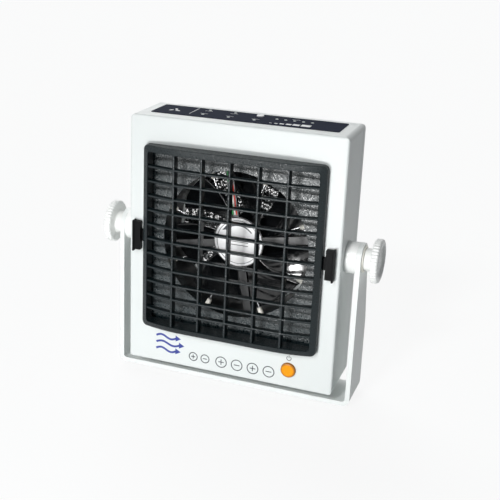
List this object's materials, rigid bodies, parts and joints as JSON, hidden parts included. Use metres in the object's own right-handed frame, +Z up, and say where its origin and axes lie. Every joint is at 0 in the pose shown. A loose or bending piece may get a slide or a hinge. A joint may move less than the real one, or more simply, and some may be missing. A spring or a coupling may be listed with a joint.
{
  "type": "ionizing blower",
  "caption": "Bench ionizing blower: a box head with a louvred grille over an axial fan and emitter needles, tilting between clamp knobs in a U-shaped stand.",
  "frame": {"origin": "centre of the whole blower in plan, on the surface that the stand's rubber pads rest on", "axes": "+X to the right seen from the front, along the tilt axis; +Y towards the rear intake, so the grille faces -Y; +Z up"},
  "size_m": [0.219, 0.062, 0.2129],
  "materials": {
    "stand_steel": "satin powder coat",
    "pad_rubber": "matt",
    "housing_white": "fine moulded satin",
    "cover_white": "fine moulded satin",
    "knob_white": "satin",
    "grille_black": "spark-eroded texture",
    "fan_black": "moulded",
    "screw_steel": "zinc plated",
    "needle_steel": "polished",
    "brass": "turned",
    "nylon_white": "moulded",
    "label_white": "printed film",
    "winding_copper": "enamelled wire",
    "stator_iron": "stamped laminations",
    "magnet_grey": "bonded ferrite",
    "board_green": "solder mask",
    "lead_insulation": "smooth",
    "filter_foam": "open-cell foam",
    "potted_black": "moulded case",
    "panel_film": "printed film",
    "lens_clear": "clear moulded",
    "button_orange": "translucent moulded",
    "button_white": "moulded"
  },
  "bodies": {
    "stand": {"stand_bracket": "stand_steel", "stand_pads": "pad_rubber"},
    "head": {"front_housing": "housing_white", "rear_cover": "cover_white", "cover_screws": "screw_steel", "pivot_spacers": "knob_white", "pivot_inserts": "brass", "duct_plate": "grille_black", "duct_screws": "screw_steel", "emitter_ring": "grille_black", "emitter_sockets": "nylon_white", "emitter_needles": "needle_steel", "fan_frame": "fan_black", "fan_label": "label_white", "fan_bearings": "screw_steel", "fan_stator": "stator_iron", "fan_windings": "winding_copper", "fan_driver_board": "board_green", "fan_screws": "screw_steel", "fan_leads": "lead_insulation", "intake_filter": "filter_foam", "intake_guard": "cover_white", "high_voltage_module": "potted_black", "high_voltage_leads": "lead_insulation", "control_board": "board_green", "board_screws": "screw_steel", "power_switch": "potted_black", "power_inlet": "potted_black", "display_board": "board_green", "speed_switch": "potted_black", "indicator_lenses": "lens_clear", "top_panel": "panel_film"},
    "rotor": {"fan_rotor": "fan_black", "rotor_yoke": "stator_iron", "rotor_magnet": "magnet_grey", "fan_shaft": "screw_steel"},
    "grille": {"front_grille": "grille_black"},
    "latch_left": {"grille_latch_left": "grille_black"},
    "latch_right": {"grille_latch_right": "grille_black"},
    "power_button": {"power_button": "button_orange"},
    "speed_button": {"speed_button": "button_white"},
    "knob_left": {"clamp_knob_left": "knob_white", "clamp_stud_left": "screw_steel", "clamp_washer_left": "nylon_white"},
    "knob_right": {"clamp_knob_right": "knob_white", "clamp_stud_right": "screw_steel", "clamp_washer_right": "nylon_white"}
  },
  "joints": [
    {"name": "head_tilt", "type": "hinge", "parent": "stand", "child": "head", "pos_m": [0, 0.001, 0.11766], "axis": [1, 0, 0], "range_deg": [-90, 90]},
    {"name": "fan_spin", "type": "hinge", "parent": "head", "child": "rotor", "pos_m": [0, 0.01, 0.11716], "axis": [0, -1, 0], "continuous": true},
    {"name": "knob_left_turn", "type": "hinge", "parent": "head", "child": "knob_left", "pos_m": [-0.097, 0.001, 0.11766], "axis": [-1, 0, 0], "range_deg": [0, 360]},
    {"name": "knob_right_turn", "type": "hinge", "parent": "head", "child": "knob_right", "pos_m": [0.097, 0.001, 0.11766], "axis": [1, 0, 0], "range_deg": [0, 360]},
    {"name": "power_press", "type": "slide", "parent": "head", "child": "power_button", "axis": [0, 1, 0], "range_m": [0, 0.0014], "stiffness_N_per_m": 500, "springref_m": -0.001},
    {"name": "speed_press", "type": "slide", "parent": "head", "child": "speed_button", "axis": [0, 0, -1], "range_m": [0, 0.0006], "stiffness_N_per_m": 800, "springref_m": -0.0006},
    {"name": "grille_pull", "type": "slide", "parent": "head", "child": "grille", "axis": [0, -1, 0], "range_m": [0, 0.04]},
    {"name": "latch_left_press", "type": "slide", "parent": "grille", "child": "latch_left", "axis": [1, 0, 0], "range_m": [0, 0.0016], "stiffness_N_per_m": 500, "springref_m": -0.001},
    {"name": "latch_right_press", "type": "slide", "parent": "grille", "child": "latch_right", "axis": [-1, 0, 0], "range_m": [0, 0.0016], "stiffness_N_per_m": 500, "springref_m": -0.001}
  ]
}
